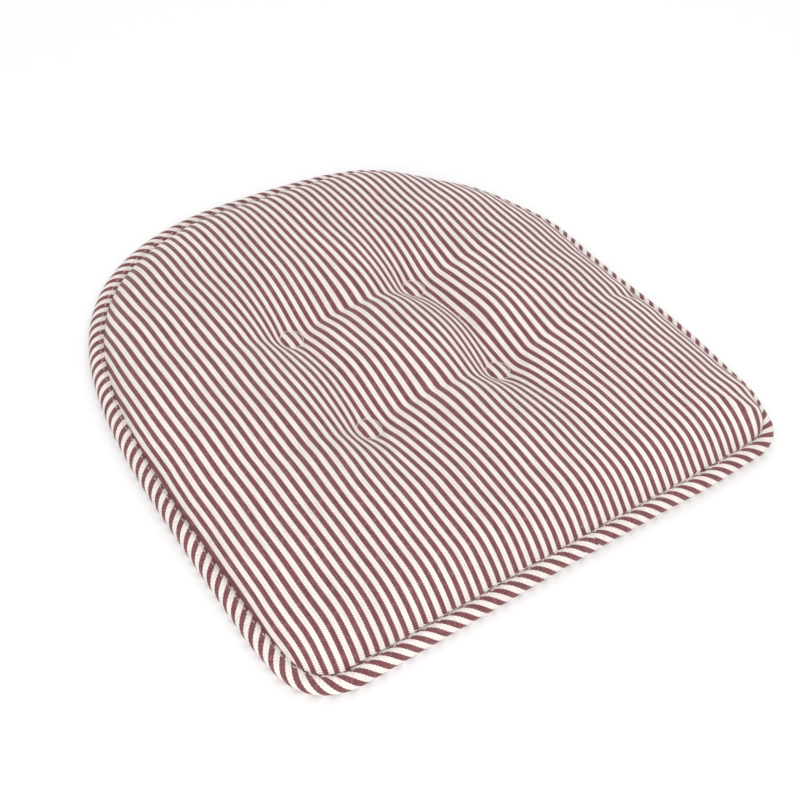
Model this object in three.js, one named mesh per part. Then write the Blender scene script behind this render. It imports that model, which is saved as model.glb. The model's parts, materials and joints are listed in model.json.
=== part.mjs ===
// Chair seat pad: a U-shaped, piped and tufted cushion.
// Millimetres, +Z up.  The origin is the centre of the pad's plan, on the surface it rests on.
// X runs along the straight front edge and +Y runs to the rounded back.
//
// From the top down the pad is a striped cover, a fibre wadding, a foam core and a slip-resistant
// bottom cover.  A cord wrapped in a bias strip (the piping) runs round the edge, with its flat
// tails sewn between the two covers, and four round thread tacks go through every layer.
import * as THREE from 'three';

// ---- overall sizes
const OVERALL_WIDTH = 406;
const OVERALL_DEPTH = 431;
const FRONT_CORNER_RADIUS = 37; // at the centre line of the piping
const BACK_CURVE_DEPTH = 269; // from where the straight sides end to the back, at the same line
const BACK_CURVE_EXPONENT = 2.96; // 2 is an ellipse, more is squarer
const CROWN_HEIGHT = 35; // the middle above the surface the pad rests on, but for the tufts' pull
const SHOULDER_DROP = 3.4; // how much lower the top is where the edge starts to roll over
const EDGE_ROLL_WIDTH = 50; // from the seam in to that place
const EDGE_ROLL_POWER = 2.7; // higher is a steeper edge
const CROWN_SPREAD = 0.42; // share of the plan, from the middle out, over which the crown fades

// ---- fabrics, filling and clearance
const GAP = 0.3;
const COVER_THICKNESS = 0.8;
const BACKING_THICKNESS = 0.8;
const WADDING_THICKNESS = 4;
const WADDING_THICKNESS_PINCHED = 1.5; // in the tufts and at the wadding's rim

// ---- piping
const PIPING_DIAMETER = 12;
const PIPING_FABRIC = 0.7;
const PIPING_TAIL_REACH = 14; // from the centre of the cord in to the cut edge of the strip
const PIPING_JOIN_GAP = 0.6; // between the strip's two ends, in the middle of the front
const PIPING_BASE = 0.3; // the piping's lowest point above the surface the pad rests on
const SEAM_THREAD_DIAMETER = 0.8;

// ---- where the layers start, from the centre line of the piping inwards
const WADDING_INSET = 11;
const FOAM_TO_TAILS = 1.5; // between the foam's rim and the cut edge of the piping strip
const SHOULDER_INSET = 28;
const INNER_RING_SCALE = 0.86;
const SPOKE_BOW = 1; // how far a spoke's middle points stand off its straight line
const RIM_CURL_WIDTH = 18; // over which the bottom cover curls up to the seam

// ---- tufts
const REAR_TUFT = new THREE.Vector2(54, 46);
const FRONT_TUFT = new THREE.Vector2(55, -59);
const TUFT_TOP = 11.3; // top cover in a tuft, above the surface the pad rests on
const TUFT_BOTTOM = 3; // bottom cover in a tuft, above the same surface
const TUFT_PULL = 18; // distance over which the pull of a tuft fades
const TUFT_BOTTOM_PULL = 12;
const TACK_RADIUS = 7.7; // middle of the ring of thread
const TACK_THREAD = 0.8;
const TACK_PROUD = 0.5; // how far the thread stands out of the covers
const TUFT_RING_RADII = [14, 21, 28];
const TUFT_SECTORS = 10;

// ---- steps round the outline
const FRONT_HALF_STEPS = 4;
const CORNER_STEPS = 5;
const SIDE_STEPS = 3;
const BACK_HALF_STEPS = 12;
const PIPING_WRAP_STEPS = 10;
const CORD_SIDES = 10;

// ---- derived sizes
const PIPING_RADIUS = PIPING_DIAMETER / 2;
const HALF_WIDTH = OVERALL_WIDTH / 2 - PIPING_RADIUS;
const HALF_DEPTH = OVERALL_DEPTH / 2 - PIPING_RADIUS;
const SEAM_HEIGHT = PIPING_BASE + PIPING_RADIUS;
const SEAM_INSET = PIPING_RADIUS + GAP;
const TAIL_HALF_THICKNESS = GAP / 2 + PIPING_FABRIC;
const COVER_RIM = SEAM_HEIGHT + TAIL_HALF_THICKNESS + GAP + COVER_THICKNESS;
const BACKING_RIM = SEAM_HEIGHT - TAIL_HALF_THICKNESS - GAP - BACKING_THICKNESS;
const FOAM_INSET = PIPING_TAIL_REACH + FOAM_TO_TAILS;
const SLOT_INNER = TACK_RADIUS - TACK_THREAD / 2 - GAP;
const SLOT_OUTER = TACK_RADIUS + TACK_THREAD / 2 + GAP;
const TUFTS = {
  rear_left: new THREE.Vector2(-REAR_TUFT.x, REAR_TUFT.y),
  rear_right: REAR_TUFT,
  front_left: new THREE.Vector2(-FRONT_TUFT.x, FRONT_TUFT.y),
  front_right: FRONT_TUFT,
};
const TUFT_ROW_MIDDLE = (REAR_TUFT.y + FRONT_TUFT.y) / 2;

// ---- the plan outline: the centre line of the piping, anticlockwise from the front's middle

/** Place and outward direction at an angle round a front corner, in radians from -Y to +X. */
function cornerNode(angle) {
  const normal = new THREE.Vector2(Math.sin(angle), -Math.cos(angle));
  const centre = new THREE.Vector2(HALF_WIDTH - FRONT_CORNER_RADIUS, FRONT_CORNER_RADIUS - HALF_DEPTH);
  return { point: centre.addScaledVector(normal, FRONT_CORNER_RADIUS), normal };
}

/** Place and outward direction on the rounded back, from its side (0) to its middle (1). */
function backNode(share) {
  const angle = (share * Math.PI) / 2;
  const n = BACK_CURVE_EXPONENT;
  const cos = Math.cos(angle);
  const sin = Math.sin(angle);
  const reach = (cos ** n + sin ** n) ** (-1 / n);
  const start = HALF_DEPTH - BACK_CURVE_DEPTH;
  const point = new THREE.Vector2(HALF_WIDTH * reach * cos, start + BACK_CURVE_DEPTH * reach * sin);
  const normal = new THREE.Vector2(
    (reach * cos) ** (n - 1) / HALF_WIDTH,
    (reach * sin) ** (n - 1) / BACK_CURVE_DEPTH,
  ).normalize();
  return { point, normal };
}

/** The right half of the outline, from the middle of the front to the middle of the back. */
function rightHalfNodes() {
  const nodes = [];
  const cornerStart = HALF_WIDTH - FRONT_CORNER_RADIUS;
  for (let i = 0; i < FRONT_HALF_STEPS; i += 1) {
    const point = new THREE.Vector2((cornerStart * i) / FRONT_HALF_STEPS, -HALF_DEPTH);
    nodes.push({ point, normal: new THREE.Vector2(0, -1) });
  }
  for (let i = 0; i < CORNER_STEPS; i += 1) {
    nodes.push(cornerNode(((i / CORNER_STEPS) * Math.PI) / 2));
  }
  const sideStart = FRONT_CORNER_RADIUS - HALF_DEPTH;
  const sideEnd = HALF_DEPTH - BACK_CURVE_DEPTH;
  for (let i = 0; i < SIDE_STEPS; i += 1) {
    const y = THREE.MathUtils.lerp(sideStart, sideEnd, i / SIDE_STEPS);
    nodes.push({ point: new THREE.Vector2(HALF_WIDTH, y), normal: new THREE.Vector2(1, 0) });
  }
  for (let i = 0; i <= BACK_HALF_STEPS; i += 1) {
    nodes.push(backNode(i / BACK_HALF_STEPS));
  }
  return nodes;
}

/** The whole outline: the right half, then its mirror image back to the front's middle. */
function outlineNodes() {
  const right = rightHalfNodes();
  const flip = (v) => new THREE.Vector2(-v.x, v.y);
  const left = right
    .slice(1, -1)
    .reverse()
    .map(({ point, normal }) => ({ point: flip(point), normal: flip(normal) }));
  return [...right, ...left];
}

const OUTLINE = outlineNodes();

/** The outline moved inwards by a distance. */
function insetRing(inset) {
  return OUTLINE.map(({ point, normal }) => point.clone().addScaledVector(normal, -inset));
}

/** Distance from a place in plan to the centre line of the piping. */
function distanceToEdge(place) {
  let nearest = Infinity;
  OUTLINE.forEach(({ point }, i) => {
    const along = OUTLINE[(i + 1) % OUTLINE.length].point.clone().sub(point);
    const offset = place.clone().sub(point);
    const share = THREE.MathUtils.clamp(offset.dot(along) / along.lengthSq(), 0, 1);
    nearest = Math.min(nearest, offset.addScaledVector(along, -share).length());
  });
  return nearest;
}

// ---- heights of the layers over the plan

/** How free of the tufts a place is: 0 in a tuft, 1 far from them all. */
function freedom(place, pull) {
  return Object.values(TUFTS).reduce((product, tuft) => {
    const beyond = Math.max(place.distanceTo(tuft) - SLOT_OUTER, 0);
    return product * (1 - Math.exp(-beyond / pull));
  }, 1);
}

/** Upper face of the top cover. */
function coverTop(place) {
  const inFromSeam = THREE.MathUtils.clamp((distanceToEdge(place) - SEAM_INSET) / EDGE_ROLL_WIDTH, 0, 1);
  const roll = 1 - (1 - inFromSeam) ** EDGE_ROLL_POWER;
  const fromMiddle = Math.hypot(place.x / OVERALL_WIDTH, place.y / OVERALL_DEPTH);
  const crown = SHOULDER_DROP * Math.max(1 - (fromMiddle / CROWN_SPREAD) ** 2, 0);
  const shoulder = CROWN_HEIGHT - SHOULDER_DROP;
  const untufted = THREE.MathUtils.lerp(COVER_RIM, shoulder, roll) + crown;
  return THREE.MathUtils.lerp(TUFT_TOP, untufted, freedom(place, TUFT_PULL));
}

/** Lower face of the bottom cover: flat, but for its curled-up rim and the tufts. */
function backingBottom(place) {
  const inFromSeam = THREE.MathUtils.clamp((distanceToEdge(place) - SEAM_INSET) / RIM_CURL_WIDTH, 0, 1);
  const curl = BACKING_RIM * (1 - inFromSeam) ** 2;
  const nearTuft = Object.values(TUFTS).reduce((most, tuft) => {
    const beyond = Math.max(place.distanceTo(tuft) - SLOT_OUTER, 0);
    return Math.max(most, 1 - beyond / TUFT_BOTTOM_PULL);
  }, 0);
  return curl + TUFT_BOTTOM * nearTuft ** 2;
}

const coverUnderside = (place) => coverTop(place) - COVER_THICKNESS;
const waddingTop = (place) => coverUnderside(place) - GAP;

/** The wadding is pinched thin in the tufts and towards its rim. */
function waddingThickness(place) {
  const inFromRim = (distanceToEdge(place) - WADDING_INSET) / (SHOULDER_INSET - WADDING_INSET);
  const fullness = THREE.MathUtils.clamp(inFromRim, 0, 1) * freedom(place, TUFT_PULL);
  return THREE.MathUtils.lerp(WADDING_THICKNESS_PINCHED, WADDING_THICKNESS, fullness);
}

const waddingUnderside = (place) => waddingTop(place) - waddingThickness(place);
const foamTop = (place) => waddingUnderside(place) - GAP;
const backingTop = (place) => backingBottom(place) + BACKING_THICKNESS;
const foamUnderside = (place) => backingTop(place) + GAP;

// ---- the plan that every layer shares

/** Points and triangles in plan, each triangle with the ring that it starts from. */
class Plan {
  constructor() {
    this.points = [];
    this.triangles = [];
    this.known = new Map();
  }

  add(point) {
    const key = `${point.x.toFixed(4)},${point.y.toFixed(4)}`;
    if (!this.known.has(key)) {
      this.known.set(key, this.points.length);
      this.points.push(point);
    }
    return this.known.get(key);
  }

  /** One triangle, turned anticlockwise. */
  triangle(a, b, c, ring) {
    const [p, q, r] = [a, b, c].map((i) => this.points[i]);
    const turn = q.clone().sub(p).cross(r.clone().sub(p));
    this.triangles.push({ corners: turn > 0 ? [a, b, c] : [a, c, b], ring });
  }

  /** The band between two closed loops of as many points, over some or all of its steps. */
  band(outer, inner, ring, isOpen = () => false) {
    outer.forEach((point, i) => {
      if (isOpen(i)) return;
      const next = (i + 1) % outer.length;
      const [a, b] = [this.add(point), this.add(outer[next])];
      const [c, d] = [this.add(inner[next]), this.add(inner[i])];
      this.triangle(a, b, c, ring);
      this.triangle(a, c, d, ring);
    });
  }

  /** The region inside a contour and outside one hole. */
  region(contour, hole, ring) {
    const indices = [...contour, ...hole].map((point) => this.add(point));
    THREE.ShapeUtils.triangulateShape([...contour], [[...hole]]).forEach(([a, b, c]) => {
      this.triangle(indices[a], indices[b], indices[c], ring);
    });
  }
}

/** A ring of points round a tuft. */
function tuftRing(tuft, radius) {
  return Array.from({ length: TUFT_SECTORS }, (_, i) => {
    const angle = ((i - 0.5) / TUFT_SECTORS) * 2 * Math.PI + Math.PI / 2;
    return new THREE.Vector2(Math.cos(angle), Math.sin(angle)).multiplyScalar(radius).add(tuft);
  });
}

/** The disc round a tuft, with a C-shaped slot for its thread and a bridge across the slot. */
function addTuftDisc(plan, tuft, ring) {
  const radii = [...TUFT_RING_RADII].reverse().concat(SLOT_OUTER, SLOT_INNER);
  const rings = radii.map((radius) => tuftRing(tuft, radius));
  for (let i = 0; i + 1 < rings.length; i += 1) {
    const isSlot = i === rings.length - 2;
    plan.band(rings[i], rings[i + 1], ring, (sector) => isSlot && sector > 0);
  }
  const middle = plan.add(tuft.clone());
  const innermost = rings[rings.length - 1].map((point) => plan.add(point));
  innermost.forEach((index, i) => {
    plan.triangle(middle, index, innermost[(i + 1) % innermost.length], ring);
  });
}

/** The quarter of the plan inside the inner ring that holds one tuft. */
function addQuarter(plan, edge, tuft, ring) {
  const sideways = Math.sign(tuft.x);
  const [first, last] = [edge[0], edge[edge.length - 1]];
  const sidePoint = Math.abs(first.x) > Math.abs(last.x) ? first : last;
  const endPoint = sidePoint === first ? last : first;
  const besideTuft = (REAR_TUFT.x + FRONT_TUFT.x) / 2;
  const spokes = [
    new THREE.Vector2(((Math.abs(sidePoint.x) + besideTuft) / 2) * sideways, TUFT_ROW_MIDDLE),
    new THREE.Vector2(besideTuft * sideways, TUFT_ROW_MIDDLE + SPOKE_BOW),
    new THREE.Vector2(0, TUFT_ROW_MIDDLE),
    new THREE.Vector2(SPOKE_BOW, tuft.y),
    new THREE.Vector2(0, (tuft.y + endPoint.y) / 2),
  ];
  const contour = sidePoint === last ? [...edge, ...spokes] : [...edge, ...spokes.reverse()];
  const outermost = TUFT_RING_RADII[TUFT_RING_RADII.length - 1];
  plan.region(contour, tuftRing(tuft, outermost), ring);
}

const INNERMOST = 4;

function buildPlan() {
  const plan = new Plan();
  const rings = [SEAM_INSET, WADDING_INSET, FOAM_INSET, SHOULDER_INSET].map(insetRing);
  rings.push(rings[rings.length - 1].map((point) => point.clone().multiplyScalar(INNER_RING_SCALE)));
  for (let i = 0; i + 1 < rings.length; i += 1) {
    plan.band(rings[i], rings[i + 1], i);
  }
  const inner = rings[rings.length - 1];
  const back = inner.length / 2;
  const right = inner.slice(0, back).reduce((best, point, i) => {
    const isNearer = Math.abs(point.y - TUFT_ROW_MIDDLE) < Math.abs(inner[best].y - TUFT_ROW_MIDDLE);
    return isNearer ? i : best;
  }, 0);
  const left = inner.length - right;
  addQuarter(plan, inner.slice(0, right + 1), TUFTS.front_right, INNERMOST);
  addQuarter(plan, inner.slice(right, back + 1), TUFTS.rear_right, INNERMOST);
  addQuarter(plan, inner.slice(back, left + 1), TUFTS.rear_left, INNERMOST);
  addQuarter(plan, [...inner.slice(left), inner[0]], TUFTS.front_left, INNERMOST);
  Object.values(TUFTS).forEach((tuft) => addTuftDisc(plan, tuft, INNERMOST));
  return plan;
}

const PLAN = buildPlan();

/** A closed layer over the plan, from one of its rings inwards, between two heights. */
function layerGeometry(firstRing, upper, lower) {
  const kept = PLAN.triangles.filter(({ ring }) => ring >= firstRing).map(({ corners }) => corners);
  const tops = PLAN.points.map((point) => new THREE.Vector3(point.x, point.y, upper(point)));
  const undersides = PLAN.points.map((point) => new THREE.Vector3(point.x, point.y, lower(point)));
  const corners = [];
  const edges = new Set(kept.flatMap(([a, b, c]) => [`${a},${b}`, `${b},${c}`, `${c},${a}`]));
  kept.forEach(([a, b, c]) => {
    corners.push(tops[a], tops[b], tops[c]);
    corners.push(undersides[c], undersides[b], undersides[a]);
  });
  edges.forEach((edge) => {
    const [a, b] = edge.split(',').map(Number);
    if (edges.has(`${b},${a}`)) return;
    corners.push(undersides[a], undersides[b], tops[b]);
    corners.push(undersides[a], tops[b], tops[a]);
  });
  const geometry = new THREE.BufferGeometry().setFromPoints(corners);
  geometry.computeVertexNormals();
  return geometry;
}

// ---- what follows a path

/** A path through given places, with the given directions at them. */
class NodePath extends THREE.Curve {
  constructor(places, tangents) {
    super();
    this.places = places;
    this.tangents = tangents;
  }

  getPointAt(share) {
    return this.places[Math.round(share * (this.places.length - 1))].clone();
  }

  getTangentAt(share) {
    return this.tangents[Math.round(share * (this.tangents.length - 1))].clone();
  }
}

/** A section swept along a path.  The section's x is downwards and its y is to the path's left. */
function sweep(section, path) {
  const shape = new THREE.Shape(section);
  const steps = path.places.length - 1;
  return new THREE.ExtrudeGeometry(shape, { steps, extrudePath: path, bevelEnabled: false });
}

/** The centre line of the piping, from one end of the strip round to the other. */
function pipingPath() {
  const half = PIPING_JOIN_GAP / 2;
  const loop = [...OUTLINE, OUTLINE[0]];
  const places = loop.map(({ point }) => new THREE.Vector3(point.x, point.y, SEAM_HEIGHT));
  places[0].x += half;
  places[places.length - 1].x -= half;
  const tangents = loop.map(({ normal }) => new THREE.Vector3(-normal.y, normal.x, 0));
  return new NodePath(places, tangents);
}

/** A point of a section at an angle round the cord, in degrees up from the tails. */
function roundCord(radius, degrees) {
  const angle = THREE.MathUtils.degToRad(degrees);
  return new THREE.Vector2(-radius * Math.sin(angle), radius * Math.cos(angle));
}

/** The bias strip: an open loop round the cord with its two flat tails side by side. */
function pipingCoverGeometry() {
  const inner = PIPING_RADIUS - PIPING_FABRIC;
  const wrap = (radius, tailHeight) => {
    const start = THREE.MathUtils.radToDeg(Math.asin(tailHeight / radius));
    return Array.from({ length: PIPING_WRAP_STEPS + 1 }, (_, i) =>
      roundCord(radius, THREE.MathUtils.lerp(start, 360 - start, i / PIPING_WRAP_STEPS)),
    );
  };
  const tail = (height) => new THREE.Vector2(-height, PIPING_TAIL_REACH);
  const section = [
    tail(TAIL_HALF_THICKNESS),
    ...wrap(PIPING_RADIUS, TAIL_HALF_THICKNESS),
    tail(-TAIL_HALF_THICKNESS),
    tail(-GAP / 2),
    ...wrap(inner, GAP / 2).reverse(),
    tail(GAP / 2),
  ];
  return sweep(section, pipingPath());
}

/** A round section with some sides, away from the path's own line by an angle and a distance. */
function roundSection(radius, sides, centre = new THREE.Vector2()) {
  return Array.from({ length: sides }, (_, i) => roundCord(radius, (i * 360) / sides).add(centre));
}

function pipingCordGeometry() {
  const radius = PIPING_RADIUS - PIPING_FABRIC - GAP;
  return sweep(roundSection(radius, CORD_SIDES), pipingPath());
}

/** The line of stitches in the crease between the piping and the top cover. */
function seamThreadGeometry() {
  const radius = SEAM_THREAD_DIAMETER / 2;
  const fromCord = PIPING_RADIUS + GAP + radius;
  const aboveRim = COVER_RIM - SEAM_HEIGHT + GAP + radius;
  const centre = roundCord(fromCord, THREE.MathUtils.radToDeg(Math.asin(aboveRim / fromCord)));
  return sweep(roundSection(radius, 4, centre), pipingPath());
}

/** One tack: a ring of thread through all the layers, open where the layers' bridge is. */
function tackGeometry(tuft) {
  const sector = (2 * Math.PI) / TUFT_SECTORS;
  const clearance = GAP / SLOT_INNER;
  const from = Math.PI / 2 + sector / 2 + clearance;
  const to = Math.PI / 2 - sector / 2 - clearance + 2 * Math.PI;
  const steps = TUFT_SECTORS - 1;
  const directions = Array.from({ length: steps + 1 }, (_, i) => {
    const angle = THREE.MathUtils.lerp(from, to, i / steps);
    return new THREE.Vector3(Math.cos(angle), Math.sin(angle), 0);
  });
  const middle = new THREE.Vector3(tuft.x, tuft.y, 0);
  const places = directions.map((direction) => middle.clone().addScaledVector(direction, TACK_RADIUS));
  const tangents = directions.map(({ x, y }) => new THREE.Vector3(-y, x, 0));
  const half = TACK_THREAD / 2;
  const [top, bottom] = [TUFT_TOP + TACK_PROUD, TUFT_BOTTOM - TACK_PROUD];
  const section = [
    new THREE.Vector2(-top, -half),
    new THREE.Vector2(-bottom, -half),
    new THREE.Vector2(-bottom, half),
    new THREE.Vector2(-top, half),
  ];
  return sweep(section, new NodePath(places, tangents));
}

// ---- finishes

const ticking = { color: 0xc6aaa9, roughness: 0.9, metalness: 0 };
const backing = { color: 0xd9cdb8, roughness: 0.8, metalness: 0 };
const cotton = { color: 0xe8e2d6, roughness: 0.95, metalness: 0 };
const fibre = { color: 0xf6f5f2, roughness: 1, metalness: 0 };
const foam = { color: 0xefe6c4, roughness: 1, metalness: 0 };
const thread = { color: 0xe9ddd8, roughness: 0.7, metalness: 0 };

function piece(name, geometry, finish) {
  const mesh = new THREE.Mesh(geometry, new THREE.MeshStandardMaterial(finish));
  mesh.name = name;
  return mesh;
}

/** The whole pad. */
function seatPad() {
  const pad = new THREE.Group();
  pad.add(
    piece('top_cover', layerGeometry(0, coverTop, coverUnderside), ticking),
    piece('fibre_wadding', layerGeometry(1, waddingTop, waddingUnderside), fibre),
    piece('foam_core', layerGeometry(2, foamTop, foamUnderside), foam),
    piece('bottom_cover', layerGeometry(0, backingTop, backingBottom), backing),
    piece('piping_cover', pipingCoverGeometry(), ticking),
    piece('piping_cord', pipingCordGeometry(), cotton),
    piece('seam_thread', seamThreadGeometry(), thread),
  );
  Object.entries(TUFTS).forEach(([place, tuft]) => {
    pad.add(piece(`tuft_tack_${place}`, tackGeometry(tuft), thread));
  });
  return pad;
}

export default seatPad();
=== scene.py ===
"""Dresses the chair seat pad: striped cover, bias piping, thread tufts, filling and grip backing."""
import json
import logging
import math
from dataclasses import dataclass, field
from enum import Enum

import bpy
import numpy as np
from mathutils import Matrix, Vector
from mathutils.bvhtree import BVHTree
from mathutils.geometry import delaunay_2d_cdt

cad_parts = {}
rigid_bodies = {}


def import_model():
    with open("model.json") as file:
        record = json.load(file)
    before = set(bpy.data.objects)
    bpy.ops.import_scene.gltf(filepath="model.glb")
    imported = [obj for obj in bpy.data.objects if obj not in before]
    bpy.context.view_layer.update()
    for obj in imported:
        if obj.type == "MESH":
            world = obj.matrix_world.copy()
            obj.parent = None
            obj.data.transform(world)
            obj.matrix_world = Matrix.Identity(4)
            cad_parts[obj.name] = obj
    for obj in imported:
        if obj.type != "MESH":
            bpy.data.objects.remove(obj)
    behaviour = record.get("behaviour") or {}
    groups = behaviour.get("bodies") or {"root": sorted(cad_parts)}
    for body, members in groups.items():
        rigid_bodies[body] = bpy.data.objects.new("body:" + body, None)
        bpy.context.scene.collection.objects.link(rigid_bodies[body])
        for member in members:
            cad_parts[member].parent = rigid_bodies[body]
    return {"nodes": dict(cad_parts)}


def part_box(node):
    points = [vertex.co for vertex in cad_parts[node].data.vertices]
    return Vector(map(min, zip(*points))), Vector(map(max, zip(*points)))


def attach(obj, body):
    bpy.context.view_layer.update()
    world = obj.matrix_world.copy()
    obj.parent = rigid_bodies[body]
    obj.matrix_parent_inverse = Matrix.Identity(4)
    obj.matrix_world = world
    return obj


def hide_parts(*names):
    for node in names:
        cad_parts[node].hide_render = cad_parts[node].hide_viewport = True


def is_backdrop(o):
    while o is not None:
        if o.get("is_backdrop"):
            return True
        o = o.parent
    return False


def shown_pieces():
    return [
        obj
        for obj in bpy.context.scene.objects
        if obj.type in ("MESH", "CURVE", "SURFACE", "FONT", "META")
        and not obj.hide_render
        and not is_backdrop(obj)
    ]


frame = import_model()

LOG = logging.getLogger("seat_pad")
MM = 0.001
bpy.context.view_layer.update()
BODY = "root"


class Side(Enum):
    """The face of the pad that something is on."""

    TOP = 1
    BOTTOM = -1


# ---------------------------------------------------------------- sizes


def node_box(name: str) -> tuple[np.ndarray, np.ndarray]:
    """Give the lowest and highest corner of a node of the frame.

    Args:
        name: the node's name.

    Returns:
        The two corners, in metres.
    """
    low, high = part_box(name)
    return np.array(low), np.array(high)


@dataclass(frozen=True)
class Tuft:
    """One place where a ring of stitches pulls the pad flat."""

    name: str
    centre: np.ndarray
    radius: float
    top: float
    bottom: float


@dataclass(frozen=True)
class PadSizes:
    """The sizes that every piece of the pad shares, in metres."""

    half_width: float
    half_depth: float
    seam_height: float
    tufts: tuple[Tuft, ...]
    corner_radius: float = 37 * MM
    back_depth: float = 269 * MM
    back_power: float = 2.96
    cloth: float = 0.7 * MM
    half_thread: float = 0.4 * MM

    @classmethod
    def from_frame(cls) -> "PadSizes":
        """Read the sizes off the nodes of the frame.

        Returns:
            The sizes.
        """
        low, high = node_box("piping_cover")
        radius = (high[2] - low[2]) / 2
        tufts = []
        for node in sorted(n for n in frame["nodes"] if n.startswith("tuft_tack_")):
            bottom, top = node_box(node)
            centre = (bottom[:2] + top[:2]) / 2
            width = (top[0] - bottom[0]) / 2
            tufts.append(Tuft(node, centre, width - cls.half_thread, top[2], bottom[2]))
        return cls(
            half_width=(high[0] - low[0]) / 2 - radius,
            half_depth=(high[1] - low[1]) / 2 - radius,
            seam_height=(low[2] + high[2]) / 2,
            tufts=tuple(tufts),
        )


@dataclass(frozen=True)
class Uneven:
    """A place where the sewn edge strays from the pattern's outline."""

    along: float
    reach: float
    out: float


@dataclass(frozen=True)
class Outline:
    """The plan of the piping's centre line, anticlockwise from the middle of the front."""

    sizes: PadSizes
    strays: tuple[Uneven, ...] = (
        Uneven(0 * MM, 45 * MM, -0.8 * MM),
        Uneven(115 * MM, 26 * MM, 1.2 * MM),
        Uneven(205 * MM, 15 * MM, -4.2 * MM),
        Uneven(300 * MM, 52 * MM, 3.6 * MM),
        Uneven(445 * MM, 34 * MM, 4.8 * MM),
        Uneven(562 * MM, 36 * MM, -6.6 * MM),
        Uneven(765 * MM, 70 * MM, 4.4 * MM),
        Uneven(1100 * MM, 90 * MM, 1.0 * MM),
        Uneven(1238 * MM, 18 * MM, -2.2 * MM),
    )
    pattern_points: int = 1400
    line_points: int = 720
    block: int = 4000

    def _right_half(self) -> np.ndarray:
        """Trace the right half of the pattern finely.

        Returns:
            Its points, from the middle of the front to the middle of the back.
        """
        s = self.sizes
        front = np.linspace(0, s.half_width - s.corner_radius, 60, endpoint=False)
        points = [np.stack([front, np.full_like(front, -s.half_depth)], 1)]
        turn = np.linspace(0, math.pi / 2, 40, endpoint=False)
        corner = np.array([s.half_width - s.corner_radius, s.corner_radius - s.half_depth])
        points.append(corner + s.corner_radius * np.stack([np.sin(turn), -np.cos(turn)], 1))
        back_start = s.half_depth - s.back_depth
        side = np.linspace(s.corner_radius - s.half_depth, back_start, 40, endpoint=False)
        points.append(np.stack([np.full_like(side, s.half_width), side], 1))
        angle = np.linspace(0, math.pi / 2, 160)
        cos, sin = np.cos(angle).clip(0), np.sin(angle).clip(0)
        reach = (cos**s.back_power + sin**s.back_power) ** (-1 / s.back_power)
        back = np.stack([s.half_width * reach * cos, back_start + s.back_depth * reach * sin], 1)
        return np.concatenate([*points, back])

    @staticmethod
    def _even(points: np.ndarray, count: int) -> tuple[np.ndarray, np.ndarray, np.ndarray]:
        """Spread points evenly along a closed line.

        Args:
            points: the line's points.
            count: how many points to give.

        Returns:
            The points, their outward directions and their distances along the line.
        """
        closed = np.concatenate([points, points[:1]])
        along = np.concatenate([[0], np.cumsum(np.linalg.norm(np.diff(closed, axis=0), axis=1))])
        wanted = np.linspace(0, along[-1], count, endpoint=False)
        even = np.stack([np.interp(wanted, along, closed[:, i]) for i in (0, 1)], 1)
        tangent = np.roll(even, -1, axis=0) - np.roll(even, 1, axis=0)
        outward = np.stack([tangent[:, 1], -tangent[:, 0]], 1)
        return even, outward / np.linalg.norm(outward, axis=1, keepdims=True), wanted

    def loop(self, count: int) -> tuple[np.ndarray, np.ndarray, np.ndarray]:
        """Sample the whole sewn outline evenly.

        Args:
            count: how many places to give.

        Returns:
            Points, outward directions and the distances along the line.
        """
        half = self._right_half()
        whole = np.concatenate([half, half[-2:0:-1] * (-1, 1)])
        pattern, outward, along = self._even(whole, self.pattern_points)
        total = along[-1] + along[1]
        stray = np.zeros(len(along))
        for uneven in self.strays:
            apart = np.abs((along - uneven.along + total / 2) % total - total / 2)
            stray += uneven.out * np.exp(-((apart / uneven.reach) ** 2))
        return self._even(pattern + outward * stray[:, None], count)

    def length(self) -> float:
        """Give the length of the centre line."""
        points, _, _ = self.loop(2000)
        return float(np.linalg.norm(points - np.roll(points, 1, axis=0), axis=1).sum())

    def inset(self, distance: float, count: int) -> np.ndarray:
        """Give the outline moved inwards.

        Args:
            distance: how far in.
            count: how many points.

        Returns:
            The moved points.
        """
        points, normals, _ = self.loop(count)
        return points - normals * distance

    def nearest(self, places: np.ndarray) -> tuple[np.ndarray, np.ndarray]:
        """Measure how far in from the centre line some places are, and where along it.

        Args:
            places: points in plan.

        Returns:
            Their depths, below zero outside the line, and their distances along the line.
        """
        line, normals, along = self.loop(self.line_points)
        depth, spot = np.empty(len(places)), np.empty(len(places))
        for start in range(0, len(places), self.block):
            rows = slice(start, start + self.block)
            offsets = places[rows, None] - line[None]
            closest = (offsets**2).sum(2).argmin(1)
            picked = offsets[np.arange(len(offsets)), closest]
            depth[rows] = -(picked * normals[closest]).sum(1)
            spot[rows] = along[closest]
        return depth, spot

    def depth(self, places: np.ndarray) -> np.ndarray:
        """Give how far in from the centre line some places are."""
        return self.nearest(places)[0]


@dataclass(frozen=True)
class Crease:
    """A valley that runs along the grain of the cloth, out of a tuft."""

    start: tuple[float, float]
    end: tuple[float, float]
    depth: float
    width: float = 38 * MM
    bow: float = 0.0
    fade: float = 0.0
    roundness: float = 2.3

    def drop(self, places: np.ndarray) -> np.ndarray:
        """Give how far the crease lowers some places.

        Args:
            places: points in plan, in metres.

        Returns:
            The drops.
        """
        start, end = (np.array(p) * MM for p in (self.start, self.end))
        span = end - start
        length = np.linalg.norm(span)
        way = span / length
        share = ((places - start) @ way / length).clip(0, 1)
        side = (places - start) @ np.array([way[1], -way[0]])
        line = self.bow * 4 * share * (1 - share)
        beyond = np.linalg.norm(places - start - share[:, None] * span, axis=1)
        apart = np.where((share > 0) & (share < 1), np.abs(side - line), beyond)
        return self.depth * (1 - self.fade * share) * (1 - apart / self.width).clip(0) ** self.roundness


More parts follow.
